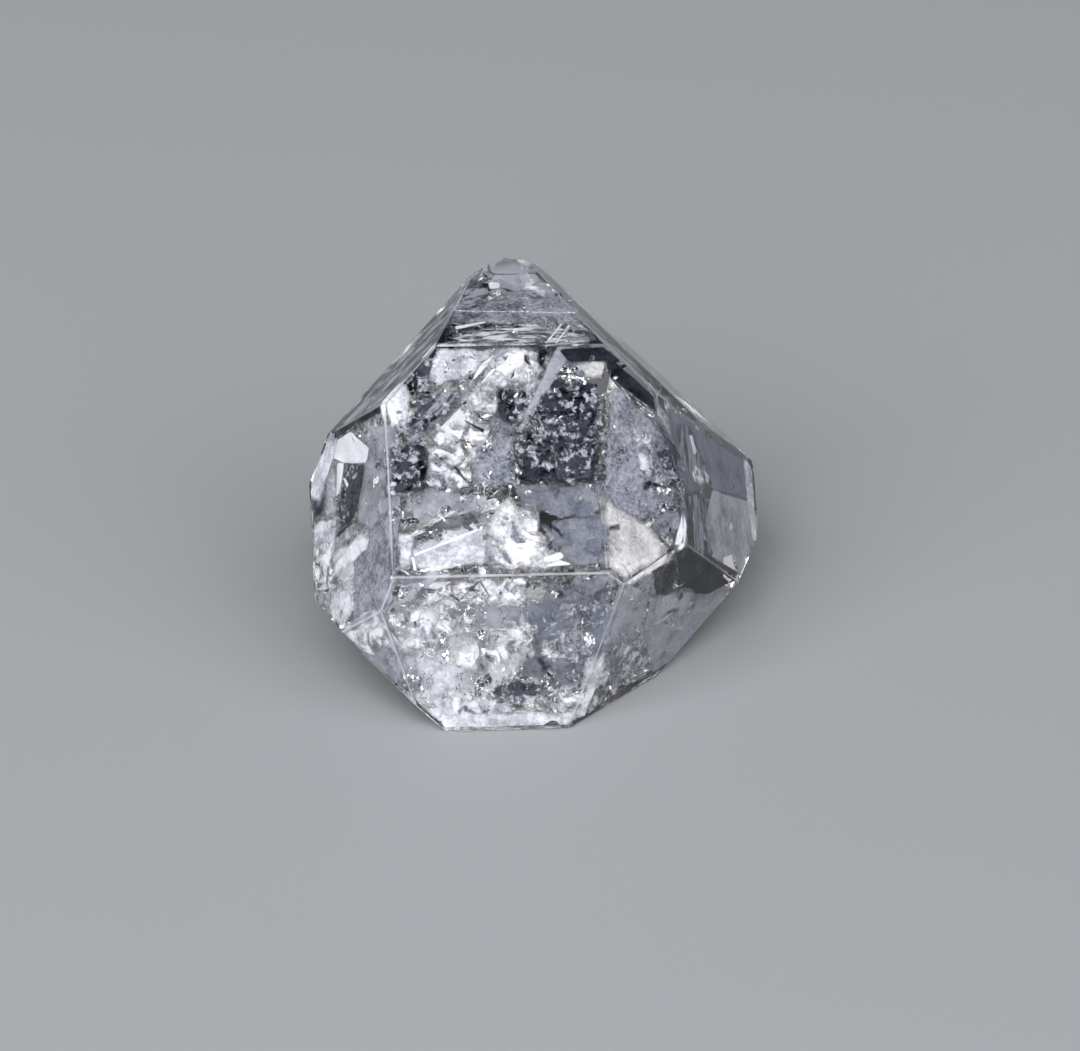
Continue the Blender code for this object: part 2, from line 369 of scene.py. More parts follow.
def put(made, middle, facing, spin=0):
    """Takes a sheet from flat on XY to its place in the crystal, and cuts off what would stand out of it.

    middle, facing: in the crystal's own axes, mm and degrees.
    spin: its turn about the way that it faces, degrees.
    """
    out = toward(*facing)
    right = Vector((0, 0, 1)).cross(out).normalized()
    turn = Matrix((right, out.cross(right), out)).transposed() @ Matrix.Rotation(math.radians(spin), 3, "Z")
    made.matrix_world = Matrix.Translation(Vector(middle)) @ turn.to_4x4()
    bpy.ops.object.transform_apply(location=True, rotation=True, scale=True)
    bpy.ops.object.mode_set(mode="EDIT")
    for normal, distance in faces_of_crystal():
        bpy.ops.mesh.select_all(action="SELECT")
        bpy.ops.mesh.bisect(
            plane_co=normal * (distance - SKIN), plane_no=normal, clear_outer=True, threshold=ON_PLANE
        )
    bpy.ops.object.mode_set(mode="OBJECT")
    made.matrix_world = Matrix.Translation(CENTRE * MM) @ LIE.to_4x4() @ Matrix.Scale(MM, 4)
    bpy.ops.object.transform_apply(location=True, rotation=True, scale=True)
    bpy.ops.object.shade_smooth()
    return made


def gap_in(made, gap):
    """Gives a sheet two walls a little apart. They face into the gap, out of the quartz."""
    wall = made.modifiers.new("gap", "SOLIDIFY")
    wall.thickness = gap
    wall.offset = 0
    bpy.ops.object.modifier_apply(modifier=wall.name)
    bpy.ops.object.mode_set(mode="EDIT")
    bpy.ops.mesh.select_all(action="SELECT")
    bpy.ops.mesh.flip_normals()
    bpy.ops.object.mode_set(mode="OBJECT")


def crack(name, middle, facing, spin, size, waves, seed):
    """One of the larger cracks: an oval sheet of this size in mm, with a wall on each side of the gap."""
    low, high = (-size[0] / 2, -size[1] / 2), (size[0] / 2, size[1] / 2)
    made = put(sheet(name, low, high, ragged(size, seed), CRACK_CELL, waves, seed), middle, facing, spin)
    gap_in(made, GAP * MM)
    made.data.materials.append(WALL)
    return made


def veils(name, finish, rows, waves, seed):
    """All the veils of one finish, as one piece.

    rows: for each veil, its name, its middle, the way that it faces and its corners on that plane, in mm.
    """
    made = []
    for number, (row, middle, facing, corners) in enumerate(rows):
        low = [min(corner[axis] for corner in corners) for axis in (0, 1)]
        high = [max(corner[axis] for corner in corners) for axis in (0, 1)]
        cuts = cornered(corners)
        width = min(max((point - corner).dot(way) for corner in map(flat, corners)) for point, way in cuts)
        cell = min(VEIL_CELL[1], max(VEIL_CELL[0], width / 4))
        made.append(put(sheet(row, low, high, cuts, cell, waves, seed + number), middle, facing))
    joined = join(made, name)
    joined.data.materials.clear()
    joined.data.materials.append(finish)
    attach(joined, "root")
    return joined


def join(pieces, name):
    """One object from several. The first one's finishes come first."""
    bpy.ops.object.select_all(action="DESELECT")
    for piece in pieces:
        piece.select_set(True)
    bpy.context.view_layer.objects.active = pieces[0]
    bpy.ops.object.join()
    pieces[0].name = pieces[0].data.name = name
    return pieces[0]


def chip(seed):
    """A small crumpled crack, 1 mm across and flat on XY, with few faces, since it is copied often."""
    made = sheet("chip", (-0.5, -0.5), (0.5, 0.5), ragged((1, 1), seed, sides=6), 0.3, CHIP, seed)
    gap_in(made, GAP)
    return made


def chips(name, spots, seed):
    """Many small cracks close under the faces, as one piece.

    spots: for each group, its middle, the way that the face above it looks, its spread across, along and
    into the face, how many there are, and their smallest and largest size, in mm.
    """
    chance = random.Random(seed)
    kinds = [chip(seed + number) for number in range(CHIP_KINDS)]
    planes = faces_of_crystal()
    made = []
    for middle, facing, spread, count, sizes in spots:
        out = toward(*facing)
        right = Vector((0, 0, 1)).cross(out).normalized()
        axes = Matrix((right, out.cross(right), out)).transposed()
        left = count
        while left:
            spot = Vector(middle) + axes @ Vector([chance.uniform(-1, 1) * width for width in spread])
            size = sizes[0] * (sizes[1] / sizes[0]) ** chance.random()
            lean = Matrix.Rotation(math.radians(chance.uniform(*CHIP_LEAN)), 3, "X")
            turn = Matrix.Rotation(chance.uniform(0, 2 * math.pi), 3, "Z")
            spin = Matrix.Rotation(chance.uniform(0, 2 * math.pi), 3, "Z")
            shape = Matrix.Diagonal((size, size * chance.uniform(0.4, 1.0), min(size, CHIP_CREASE)))
            if any(spot.dot(normal) > distance - SKIN - size * 0.4 for normal, distance in planes):
                continue  # it would stand out of the crystal
            copy = kinds[left % len(kinds)].copy()
            copy.data = copy.data.copy()
            copy.data.transform(
                Matrix.Translation(CENTRE * MM)
                @ LIE.to_4x4()
                @ Matrix.Scale(MM, 4)
                @ Matrix.Translation(spot)
                @ (axes @ turn @ lean @ spin @ shape).to_4x4()
            )
            bpy.context.scene.collection.objects.link(copy)
            made.append(copy)
            left -= 1
    for kind in kinds:
        bpy.data.objects.remove(kind)
    joined = join(made, name)
    bpy.ops.object.shade_flat()
    joined.data.materials.clear()
    joined.data.materials.append(WALL)
    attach(joined, "root")
    return joined


def whole_crystal(node):
    """A copy of the solid with its loose triangles joined.

    The scar's floor and the strips along the ridges get finishes of their own.
    """
    made = bpy.data.objects.new("clear_crystal", node.data.copy())
    made.data.name = "clear_crystal"
    bpy.context.scene.collection.objects.link(made)
    bpy.ops.object.select_all(action="DESELECT")
    made.select_set(True)
    bpy.context.view_layer.objects.active = made
    made.data.materials.clear()
    for finish in (clear_quartz(), WALL, scar_quartz(), worn_ridge()):
        made.data.materials.append(finish)
    outside, scar, ridge = 0, 2, 3
    bpy.ops.object.mode_set(mode="EDIT")
    bpy.ops.mesh.select_all(action="SELECT")
    bpy.ops.mesh.remove_doubles(threshold=1e-6)
    bpy.ops.mesh.dissolve_limited(angle_limit=math.radians(0.2))
    bpy.ops.object.mode_set(mode="OBJECT")
    floors = [LIE @ toward(*part) for part in SCAR_PARTS]
    for face in made.data.polygons:
        reach = max((made.data.vertices[corner].co - face.center).length for corner in face.vertices)
        width = face.area / (2 * reach) / MM
        if any(face.normal.dot(floor) > 0.9995 for floor in floors):
            face.material_index = scar
        elif STRIP[0] < width < STRIP[1]:
            face.material_index = ridge
        else:
            face.material_index = outside
    return made


def camera():
    """A long lens, a little to the left of the crystal and looking down on it."""
    lens = bpy.data.cameras.new("camera")
    lens.lens = 266.7
    lens.sensor_width = 36
    lens.clip_start = 0.05
    made = bpy.data.objects.new("camera", lens)
    bpy.context.scene.collection.objects.link(made)
    right = Vector((0.99931724, 0, 0.03694662))
    up = Vector((-0.03143007, 0.5256697, 0.85010795))
    turn = Matrix((right, up, right.cross(up))).transposed()
    from_crystal = Vector((-7.464, -341.195, 208.646))
    made.matrix_world = Matrix.Translation((CENTRE + from_crystal) * MM) @ turn.to_4x4()
    bpy.context.scene.camera = made


def pale_floor():
    """A wide matt floor, a hair below the face that the crystal lies on."""
    bpy.ops.object.select_all(action="DESELECT")
    bpy.ops.mesh.primitive_plane_add(size=4, location=(0, 0, -0.02 * MM))
    floor = bpy.context.object
    floor.name = "floor"
    matt = Finish("pale_floor", Base_Color=(0.16, 0.165, 0.175, 1), Roughness=0.6)
    floor.data.materials.append(matt.made)


def softbox(name, place, size, power):
    """A soft light that looks at the crystal. Place and size in metres, power in watts."""
    light = bpy.data.lights.new(name, "AREA")
    light.shape = "RECTANGLE"
    light.size, light.size_y = size
    light.energy = power
    made = bpy.data.objects.new(name, light)
    bpy.context.scene.collection.objects.link(made)
    made.location = place
    made.rotation_euler = (-Vector(place)).to_track_quat("-Z", "Y").to_euler()
    made.visible_camera = False


def studio():
    """A main light from the front left, a weak one from the front right, and long enough light paths."""
    world = bpy.data.worlds.new("studio")
    world.use_nodes = True
    world.node_tree.nodes["Background"].inputs["Color"].default_value = (0.010, 0.011, 0.013, 1)
    bpy.context.scene.world = world
    softbox("key_softbox", (-0.29, -0.45, 0.535), (0.80, 0.80), 17.5)
    softbox("fill_softbox", (0.38, -0.32, 0.495), (0.70, 0.70), 6.5)
    scene = bpy.context.scene
    scene.view_settings.view_transform = "Standard"
    scene.cycles.max_bounces = 32
    scene.cycles.glossy_bounces = 16
    scene.cycles.transmission_bounces = 32
    scene.cycles.transparent_max_bounces = 64


# The waves of each kind of sheet: for each wave its axis, how broad it is and how high, mm.
CRUMPLE = (("Z", 2.5, 0.9), ("Z", 0.45, 0.42), ("X", 1.2, 0.8), ("Y", 1.2, 0.8))
COARSE = (("Z", 2.5, 0.9), ("Z", 0.9, 0.7), ("X", 1.5, 0.9), ("Y", 1.5, 0.9))
FEATHER = (("Z", 2.2, 0.8), ("Z", 0.6, 0.12), ("X", 1.4, 0.9), ("Y", 1.4, 0.9))
FLAT = (("Z", 4.0, 0.3),)
VEIL = (("Z", 3.0, 0.5), ("Z", 0.7, 0.12), ("X", 0.9, 0.6), ("Y", 0.9, 0.6))
PLATE = (("Z", 3.0, 0.4), ("Z", 0.7, 0.05))
CHIP = (("Z", 0.8, 0.35), ("Z", 0.25, 0.12), ("X", 0.5, 0.25), ("Y", 0.5, 0.25))
CHIP_KINDS = 6  # the shapes that the fine cracks are copied from
CHIP_LEAN = (30, 68)  # how far each copy leans from the face above it, degrees
CHIP_CREASE = 0.7  # a larger one is creased no deeper than one of this size, mm

# Groups of fine cracks, as chips() takes them.
CHIPS = (
    ((-4.5, -6.5, 0), (-90, 0), (4, 5, 0.8), 300, (0.2, 1.2)),
    ((1, -6.2, 0.5), (-90, 0), (3, 4, 1), 260, (0.15, 0.8)),
    ((-2.5, -4.6, -9.6), (-90, -38), (5.5, 3.5, 0.8), 330, (0.2, 1.2)),
    ((4.6, -5, -1.5), (-64, -1), (2.5, 5, 0.8), 110, (0.2, 0.9)),
    ((-8.2, -4.3, -2.5), (-150, 0), (2.8, 5, 0.8), 130, (0.2, 1)),
    ((3.6, -2.2, -8.6), (-30, -38), (4, 3, 0.9), 120, (0.2, 1)),
    ((7.6, -1, -2), (-30, 0), (3, 4, 1), 50, (0.3, 1.2)),
    ((-0.5, -5, 6.6), (-90, 38), (4.5, 3.5, 1), 70, (0.3, 1.4)),
    ((-7.2, -3.6, -9.2), (-150, -38), (2, 2.5, 1), 50, (0.3, 1)),
    ((0, 1, -2), (-90, 0), (9, 9, 4.5), 120, (0.5, 2.2)),
)

# The larger cracks: name, middle, the way that each faces, its spin, size and waves.
CRACKS = (
    ("dark_crumple", (0.6, -2.1, 1.8), (-65, 31), 52, (8.9, 5.9), CRUMPLE),
    ("dark_back", (0.2, -0.7, 3.6), (-77, 45), 71, (11, 4.7), CRUMPLE),
    ("band_diag", (0.2, -4.1, 3.6), (-51, 2), -15, (1.1, 5.7), FEATHER),
    ("top_white", (-1.1, -5.1, 4.8), (-125, -20), -10, (2.5, 1.4), FLAT),
    ("left_crumple", (-5.8, -4.6, 2.8), (-120, 35), -13, (4.2, 4.8), CRUMPLE),
    ("left_dark", (-6.6, -4.1, -0.3), (-73, 40), 2, (2.6, 5.9), COARSE),
    ("mid_wavy", (-4.3, -2.6, 1.4), (-135, -20), -12, (6.9, 7), FEATHER),
    ("mid_cross", (-3.1, -4.6, 1.9), (-130, 22), -12, (4, 3.2), COARSE),
    ("mid_low", (-3.3, -5.1, -1.1), (-100, 37), -8, (4.5, 4.7), FEATHER),
    ("low_flat", (-5.4, -4.6, -5), (-58, -54), 6, (5.4, 5.5), FLAT),
    ("low_flat2", (-4.5, -2.6, -2.8), (-133, 15), -12, (6.9, 2.9), FLAT),
    ("low_step", (-5.6, -5.6, -6.7), (-91, 29), -3, (4.9, 3.2), FEATHER),
    ("strip_shards", (0.1, -5.1, -5.8), (-81, 36), -2, (3, 3.1), COARSE),
    ("strip_right", (1.8, -3.6, -4.5), (-101, 42), -10, (2.5, 5.3), FEATHER),
    ("bottom_dark", (-1.6, -2.5, -11.1), (-96, 32), -8, (3.5, 3.3), COARSE),
    ("bottom_right", (0.3, -2.4, -11.7), (-68, 17), 10, (4, 2.9), CRUMPLE),
    ("right_low_dark", (1.3, -3.3, -7.7), (-96, 32), -8, (3.5, 6.7), CRUMPLE),
    ("right_low_dark2", (2.8, -1.2, -8.6), (-58, 22), 32, (4, 8.5), CRUMPLE),
    ("low_mid_streak", (0.4, -1.9, -8.7), (-47, -5), 17, (1.5, 3.8), FEATHER),
    ("x_dark", (5, -3.2, -1.2), (-91, 43), 7, (3, 11), COARSE),
    ("x_top", (4.4, -4.2, 1.8), (-63, 31), 15, (3.2, 3.6), CRUMPLE),
    ("x_low", (3.3, -4.6, -5), (-99, -50), 3, (2.3, 4.5), FEATHER),
    ("left_darkp", (-8.5, -2.5, -1.3), (-90, 38), -34, (2.4, 5.8), COARSE),
    ("left_up", (-7.4, -4.3, 1), (-76, 16), -15, (3.9, 3.1), CRUMPLE),
    ("left_lowcr", (-9.1, -1.5, -4.2), (-122, 41), -41, (3.6, 5.1), FEATHER),
    ("left_band", (-10.2, -1.1, -0.8), (-68, -29), -7, (1.9, 3.3), FLAT),
    ("tip_waves", (-1.4, -5, 6), (-86, 58), -10, (8.4, 3.1), FEATHER),
    ("tip_dark", (-2.7, -3, 8.7), (-142, 30), 0, (1.9, 2.4), FEATHER),
    ("tip_low2", (1.1, -5.1, 6.3), (-50, 32), -8, (3.9, 1.6), FEATHER),
    ("right_streak", (6.5, -2.5, 0.6), (-20, 9), 25, (1.6, 3.2), COARSE),
    ("right_brown", (6.6, -1.6, -2.6), (-33, 29), 29, (1.8, 4.1), COARSE),
    ("right_far", (8.7, 0.5, -4.1), (-20, 9), 25, (1.1, 1.4), FLAT),
    ("square", (6.6, -2.6, -4.8), (-85, 23), 14, (2.6, 3.6), FLAT),
    ("b_right", (4.2, -1.9, -6.5), (-76, 26), 23, (4.5, 5.5), FEATHER),
    ("tl_streak", (-6.5, -4.5, 4.4), (-69, 11), -36, (2, 5.1), FEATHER),
)

# The veils of each finish, as veils() takes them.
HAZE = (
    ("front_ribbon", (0, -6.7, 2.7), (-82, -1),
     ((-1.6, -2.2), (-1.3, -2.3), (0.2, 0), (1.7, 2.3), (0.7, 2.3))),
    ("front_left_low", (-5.6, -6.3, -3.3), (-98, 0),
     ((-2.1, 0.5), (-2.2, -1.3), (0.1, -0.7), (2.4, -0.3), (2.5, 0.5), (-0.6, 1.1))),
    ("lower_grey_mid", (-3.5, -4.9, -8.6), (-90, -33),
     ((-1.7, -0.3), (0.1, -1), (1.5, -0.8), (2, 0.9), (-1.9, 1.2))),
    ("left_panel", (-8.2, -5.6, -1.5), (-146, -3),
     ((-1.5, -1.6), (-0.1, -2.6), (1.3, -1.8), (1.5, 2.7), (0.2, 2.7), (-1.3, 0.5))),
    ("lower_left_haze", (-8.3, -3.2, -9.2), (-145, -42),
     ((-0.8, -0.3), (0.3, -3.1), (1.8, 1.7), (-1.3, 1.6))),
    ("tip_haze", (-0.7, -2.7, 8.6), (-89, 43),
     ((-2.4, -0.4), (-2.1, -2.3), (1.1, -2.5), (2.5, -1.5), (1, 2.8), (-0.2, 3.5))),
    ("lower_right_grey", (6.2, -0.5, -7.3), (-26, -35),
     ((-2.3, -1.6), (0.9, -2.7), (2.5, 0.6), (3, 3.6), (-3.9, 0.3))),
    ("right_low", (9.2, 0.5, -2.4), (-26, 2),
     ((-3.2, -0.3), (-2.5, -2.3), (1, -2.1), (3.8, 0.6), (3.2, 2.7), (-2, 1.7))),
    ("lower_diagonal_light", (3.5, -4.2, -8), (-26, -35),
     ((-0.9, -2.2), (2.2, -0.6), (0.5, 1.6), (-1.9, 1.2))),
    ("lower_wedge", (-6.9, -6.5, -7.3), (-84, -38), ((-1.1, -0.9), (-0.4, -0.9), (1.3, 0.8), (0.5, 0.8))),
    ("left_rim_top", (-10.4, -3.1, 1.9), (-153, 2),
     ((0.1, -0.6), (1.6, -0.6), (1.2, 0.2), (-0.9, 0.8), (-1.9, 0))),
    ("lower_edge_haze", (5.5, -3.3, -6), (-25, -34),
     ((0, -1.3), (3.5, 0.7), (0.1, 1.5), (-1.6, 0.4), (-2.1, -1.2))),
)
DIM = (
    ("front_grey_strip", (0.1, -6.5, -3.1), (-90, 5),
     ((-1.8, 0.1), (-1.2, -0.4), (0.3, -0.9), (2.3, -0.6), (2.3, 0.9), (-1.9, 1))),
    ("front_right_low", (1.2, -6.3, -5.2), (-90, 5),
     ((-1.3, -0.3), (-0.2, -1.3), (1.4, -1.2), (1.3, 1.5), (-1.3, 1.2))),
    ("lower_grey", (1.7, -6, -7.2), (-82, -38),
     ((-1.6, -0.8), (0.1, -0.8), (1.5, 0.2), (0.9, 0.7), (-0.8, 0.7))),
    ("lower_grey_low", (-1.4, -3.5, -10.2), (-90, -33),
     ((-1.5, -0.9), (1.5, -0.7), (1.2, 0.7), (-1.3, 1))),
    ("scar_haze", (4.5, -4.7, -2.7), (-60, -1),
     ((-2.5, -3.6), (-1.5, -4.4), (-0.3, -3.8), (2.4, -1.8), (2.4, 3.1), (1, 4.7), (-1.7, 6.1))),
    ("lower_base_right", (0.2, -4.1, -9.2), (-90, -33),
     ((-1.4, 0.1), (-2.8, -4.4), (0.7, -4.4), (2.8, 2.7), (2.2, 3.1), (-1.8, 3))),
)
PALE = (
    ("front_pale_low", (-7.4, -6.4, -5.6), (-90, 5), ((-0.4, -1), (0.4, -1), (0.6, 1), (-0.4, 1.1))),
    ("front_pale_slab", (-5.2, -6.1, -5.5), (-90, 5),
     ((-1.8, -1), (-0.4, -1), (1.9, -0.8), (2.1, 1.6), (-0.1, 1.1), (-1.9, 0.1))),
    ("left_low_panel", (-9.7, -2.6, -7), (-146, -3),
     ((-1.2, 0), (0.1, -1.2), (0.9, -0.5), (0.8, 0.8), (-0.8, 1.1))),
    ("left_up_panel", (-10.2, -1.5, -2.8), (-146, -3),
     ((-1.2, -0.9), (0.8, -0.8), (1.2, 0.7), (-1, 1.1))),
    ("left_grey", (-9.9, -2.1, -0.7), (-146, -3), ((-0.7, -1.3), (0.4, -1.4), (0.7, 1.3), (-0.5, 1.5))),
    ("lower_smooth", (-5.1, -2.8, -11.3), (-90, -33),
     ((-1.6, -0.4), (-0.3, -1.9), (1.7, -1.9), (1.5, 2.2), (-1.3, 2.3))),
    ("lower_band", (1.7, -3, -11.3), (-84, -38), ((-0.6, -1.9), (0.3, -1.7), (0.6, 1.9), (-0.3, 1.6))),
    ("right_rim", (10.8, 3.4, 0.2), (-26, 2), ((-0.5, -2.4), (0.5, -2.1), (1, 2.2), (-0.9, 2.4))),
    ("front_haze_top", (-4.5, -6.4, 3.8), (-86, 0),
     ((-1.3, 0.2), (-1.3, -0.9), (-0.7, -0.7), (0.4, -1.3), (1.2, -0.2), (2.4, 1.3), (-0.7, 1.3))),
    # Painted light: a pale strip just inside the bottom edge, near the face the crystal rests on, that
    # lifts the dark contact shade seen there.
    ("painted_light_lower_rim", (-2.4, -2.5, -13.1), (-90, -33), ((-3, -0.5), (3, -0.7), (3.7, 0.6), (-3.5, 0.7))),
    ("left_rim", (-10.6, -2.5, 0.4), (-154, 3),
     ((-0.3, -1.6), (0.6, -0.2), (1.6, 1.2), (0.5, 1.4), (-1, 0.2), (-1.5, -1.1))),
    ("front_white_left", (-7.2, -6.8, 2), (-95, 0),
     ((-0.5, -1.4), (0.4, -0.7), (0.6, 0.4), (0.3, 1.4), (-0.8, 0.1))),
    ("lower_base_left", (-4.9, -3.8, -9.7), (-90, -33),
     ((-3.5, 2), (-2, -2.2), (-0.5, -3.8), (2.2, -3.8), (3.7, 0.6), (3.3, 3.6), (-3, 3.8))),
)
MIST = (
    ("front_mist", (-4.1, -5.1, -0.1), (-85, 0),
     ((-3.6, 2.2), (-3.7, -6.4), (1.5, -6.3), (2.3, -1.6), (2.6, 1.1), (2.1, 5.5), (-1.1, 5.5))),
    ("front_mist_mid", (-2.9, -6.4, -0.7), (-90, 5),
     ((-1.4, -1.4), (0.2, -1.8), (1.1, -1.4), (1.3, 2), (-1.2, 2.7))),
    ("front_mist_low", (-1.3, -6.6, -5), (-85, 0),
     ((-2.1, -1.8), (2.3, -1.8), (1.6, -0.1), (0.3, 2), (-1.9, 2))),
    ("lower_mist", (-3.6, -3.5, -8.7), (-84, -38),
     ((-5, 1.2), (-2.2, -4.5), (1.3, -4.6), (2.5, -0.5), (3.8, 2.1), (3.7, 3.3), (-4.5, 2.9))),
    ("lower_mist_left", (-6.7, -4.9, -8.9), (-100, -38),
     ((-1.4, 0.1), (-0.4, -1.4), (0.4, -1.3), (1.6, -0.2), (1.2, 1.3), (-1.5, 1.3))),
    ("left_mist", (-8.5, -2.9, -4), (-146, -3),
     ((-3.6, -1.7), (-1.6, -3.9), (1.7, -3.8), (2.9, -2.6), (3.1, 6.1), (-2.4, 5.8))),
    ("tip_mist", (-1.5, -2.2, 8.4), (-89, 43),
     ((-2.4, -1.4), (-1.9, -3.4), (0.2, -2.9), (2.1, 0.7), (1.5, 3.7), (0.4, 3.7))),
    ("tip_mist_right", (0.3, -3.2, 8.3), (-89, 43), ((-0.9, -0.1), (0.1, -2), (1.7, -1.6), (-0.7, 3.9))),
    ("front_cloud_mist", (-1.6, -6.7, 3.7), (-90, 6),
     ((-1.6, -1.1), (0.9, -1.1), (2, -0.1), (2.1, 1.3), (-0.9, 1.3), (-2.3, -0.6))),
    ("front_cloud_low", (-3.1, -6.7, 2.5), (-90, 8),
     ((-0.6, -1.3), (0.7, -1.2), (1.1, 0.5), (0.1, 1.5), (-1.1, 0.2))),
)
MILK = (
    ("front_cloud", (-1.8, -6.8, 4.3), (-90, 8),
     ((-1.1, -0.5), (0, -0.9), (1.1, -0.3), (1, 0.6), (-0.2, 0.7), (-1, 0.3))),
    ("lower_white", (-2.2, -6.1, -7.7), (-90, -30), ((-0.5, -0.4), (0.7, -0.3), (0.6, 0.4), (-1, 0.5))),
    ("lower_white_left", (-6.4, -5.4, -8.6), (-100, -38),
     ((-0.6, -0.5), (0.2, -1), (0.7, -0.1), (0.3, 0.7), (-0.7, 0.6))),
    ("lower_white_c", (-4.3, -4.2, -9.9), (-90, -30), ((-0.6, -0.7), (0.7, -0.9), (0.5, 0.7), (-0.8, 0.7))),
    ("lower_white_d", (-2.6, -2.3, -12.3), (-90, -30),
     ((-0.8, -0.6), (0.6, -0.6), (0.9, 0.4), (-0.7, 0.6))),
    ("lower_white_e", (0, -2.2, -12.4), (-90, -30),
     ((-0.7, -0.5), (0.3, -0.5), (0.8, 0.6), (-0.6, 0.4))),
    ("lower_white_f", (-2, -4.9, -9.2), (-90, -30), ((-0.4, -0.4), (0.3, -0.5), (0.5, 0.3), (-0.5, 0.5))),
    ("lower_white_g", (-5.8, -6.2, -7.6), (-90, -30), ((-0.7, -0.3), (0.5, -0.3), (0.7, 0.3), (-0.4, 0.2))),
    ("scar_bright", (4.8, -5.3, -0.8), (-60, -1), ((-0.4, -0.3), (0.6, -0.5), (0.3, 0.4), (-0.7, 0.5))),
    ("left_corner", (-10.9, -1.1, -4.7), (-154, 3), ((-0.3, -0.5), (0.3, -0.6), (0.4, 0.2), (-0.4, 0.6))),
    ("lower_left_white", (-8.9, -3.8, -8.7), (-155, -34),
     ((-1.2, -0.2), (-0.3, -0.7), (1.3, -0.7), (1.8, 0.7), (-1.5, 0.8))),
    ("left_diagonal", (-9.5, -4, -4.7), (-154, 3),
     ((-0.5, -0.7), (1.5, -0.3), (1.7, 0.4), (0.9, 0.9), (-1.4, 0.2), (-2, -0.7))),
    ("left_mid", (-9.1, -3.6, -4.8), (-157, 4),
     ((-1.9, -1.1), (-0.2, -0.9), (2.2, -0.1), (1.8, 1), (-1.8, 1.2))),
)
CHALK = (
    ("left_white", (-9.5, -4.3, 0.7), (-153, 2),
     ((-0.3, -0.6), (1.6, -1.2), (1.9, -0.5), (0.3, 0.9), (-1.3, 0.9), (-1.8, 0.3))),
    ("left_wedge", (-9.9, -3.5, -0.5), (-155, 3), ((-0.4, -1), (0, -0.7), (0.5, 0.7), (-0.2, 1))),
    ("scar_rim", (6.4, -4.9, -4.3), (-60, -1), ((-0.5, -0.9), (0, -0.6), (0.3, 0.5), (0.1, 1))),
    ("right_flakes", (7.4, -3.4, 1), (-25, 3), ((0, -0.7), (0.5, -0.3), (0, 0.5), (-0.5, 0.3))),
    ("front_shard", (-0.1, -7, -6.2), (-89, 10),
     ((-0.5, -0.2), (0.1, -0.2), (0.6, 0.1), (0.4, 0.4), (-0.5, 0.1))),
    ("front_shard_low", (0, -7.1, -6.5), (-89, 10),
     ((-0.5, -0.2), (1, -0.1), (0.2, 0.2), (-0.7, -0.1))),
    ("right_spot", (9.2, -0.1, -4.4), (-25, 3),
     ((-0.7, -0.6), (0.2, -0.6), (0.7, 0.1), (0.4, 0.8), (-0.9, 0.3))),
    ("tip_spot", (-1.8, -3.3, 9.4), (-89, 43), ((-0.3, -0.3), (0.2, -0.3), (0.3, 0.3), (-0.3, 0.5))),
    ("tip_arc", (-3.4, -5.8, 6.5), (-89, 43), ((-0.8, -0.5), (0.9, 0.2), (0.8, 0.4), (-0.8, -0.1))),
    ("tip_arc_b", (-1.4, -5.3, 7.1), (-89, 43),
     ((-1.2, -0.6), (0.1, 0.2), (0.9, -0.2), (1, 0.1), (0.2, 0.4), (-1.2, -0.3))),
    ("tip_line_a", (0.7, -6.4, 5.8), (-89, 43), ((-0.4, -1), (0.5, 0.8), (0.4, 0.9), (-0.5, -0.9))),
    ("tip_line_b", (1.1, -6.5, 5.7), (-89, 43), ((-0.4, -1), (0.5, 0.8), (0.4, 0.9), (-0.5, -1))),
    ("top_right_line", (1.7, -12.3, 3.1), (-25, 39), ((-2.2, -1.6), (-0.2, -0.7), (2.3, 1.6), (0.3, 0.8))),
    ("left_shard", (-9.5, -4.1, -1.1), (-154, 3), ((0.1, -0.5), (0.3, -0.4), (-0.2, 0.5), (-0.5, 0.6))),
    ("front_arc", (-3, -7.1, 3.8), (-90, 5),
     ((-0.7, -1.1), (0, -0.1), (1, 1), (0.9, 1.1), (-0.2, 0.1), (-0.8, -0.9))),
    ("front_arc_b", (-2.6, -7, 3.5), (-90, 5),
     ((-0.8, -1), (0, 0), (0.9, 0.9), (0.8, 1), (-0.2, 0.1), (-0.9, -0.9))),
    ("front_slab_edge", (-5.3, -7.1, -5.2), (-90, 5), ((-1.6, -0.8), (1.6, 0.5), (1.6, 0.7), (-1.7, -0.6))),
    ("front_slab_side", (-6.9, -7.1, -6.3), (-90, 5), ((-0.1, -0.4), (0.1, -0.4), (0, 0.4), (-0.2, 0.4))),
    ("front_bright_a", (-4.5, -6.5, 0.9), (-90, 5),
     ((-0.3, -0.8), (0.3, -0.6), (0.6, 0.4), (0.3, 1.1), (-1, -0.2))),
)
